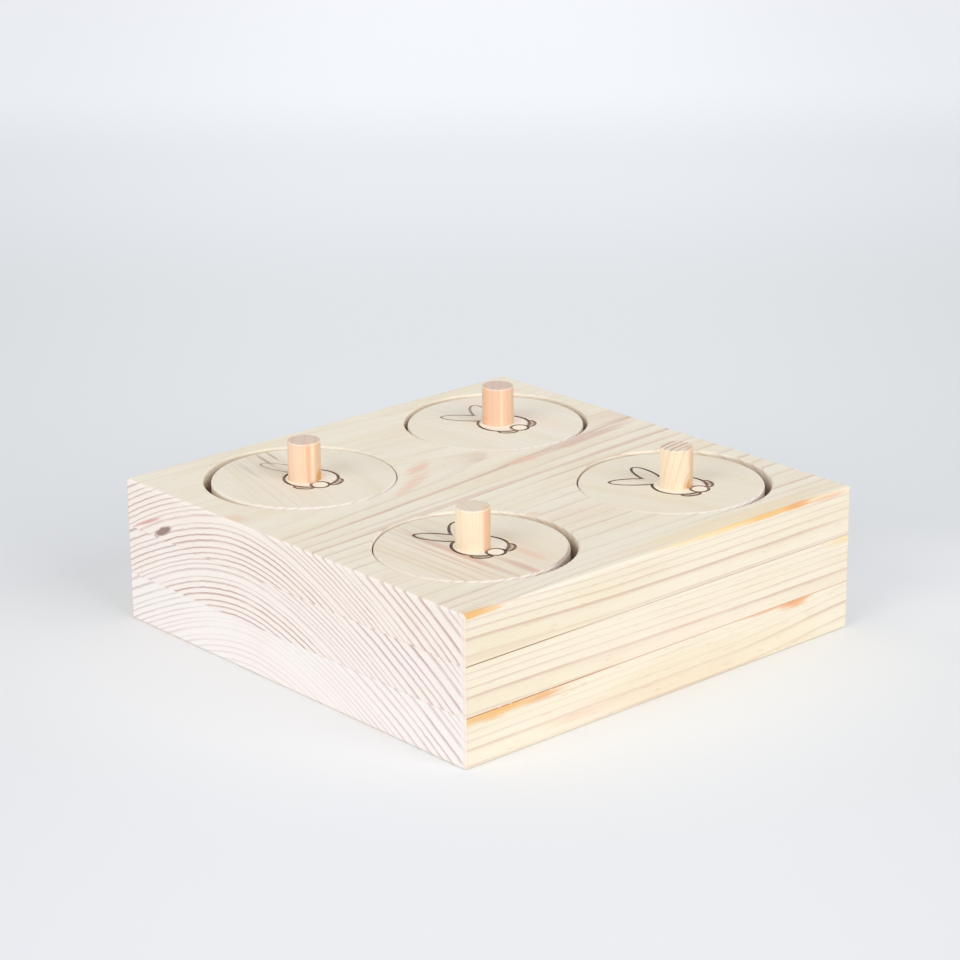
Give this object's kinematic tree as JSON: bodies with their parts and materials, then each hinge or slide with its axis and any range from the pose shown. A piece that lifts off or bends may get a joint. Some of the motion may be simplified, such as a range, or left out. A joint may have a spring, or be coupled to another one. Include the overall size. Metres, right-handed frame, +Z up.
{
  "type": "wooden puzzle feeder",
  "caption": "Square block of glued pine boards with round food wells, each closed by a loose round lid that a small animal lifts out by its dowel peg.",
  "frame": {"origin": "middle of the block's underside, on the table", "axes": "+Z up; +X along the grain of the boards; the end grain shows on the faces square to X"},
  "size_m": [0.184, 0.184, 0.0683],
  "materials": {
    "pine_board": "planed and sanded, untreated",
    "pine_lid": "sanded, untreated, with a burnt line drawing",
    "pine_dowel": "turned dowel, untreated"
  },
  "bodies": {
    "block": {"base_board": "pine_board", "middle_board": "pine_board", "top_board": "pine_board"},
    "front_lid": {"lid_front": "pine_lid", "peg_front": "pine_dowel"},
    "right_lid": {"lid_right": "pine_lid", "peg_right": "pine_dowel"},
    "back_lid": {"lid_back": "pine_lid", "peg_back": "pine_dowel"},
    "left_lid": {"lid_left": "pine_lid", "peg_left": "pine_dowel"}
  },
  "joints": [
    {"name": "front_lid_lift", "type": "slide", "parent": "block", "child": "front_lid", "axis": [0, 0, 1], "range_m": [0, 0.045]},
    {"name": "right_lid_lift", "type": "slide", "parent": "block", "child": "right_lid", "axis": [0, 0, 1], "range_m": [0, 0.045]},
    {"name": "back_lid_lift", "type": "slide", "parent": "block", "child": "back_lid", "axis": [0, 0, 1], "range_m": [0, 0.045]},
    {"name": "left_lid_lift", "type": "slide", "parent": "block", "child": "left_lid", "axis": [0, 0, 1], "range_m": [0, 0.045]}
  ]
}
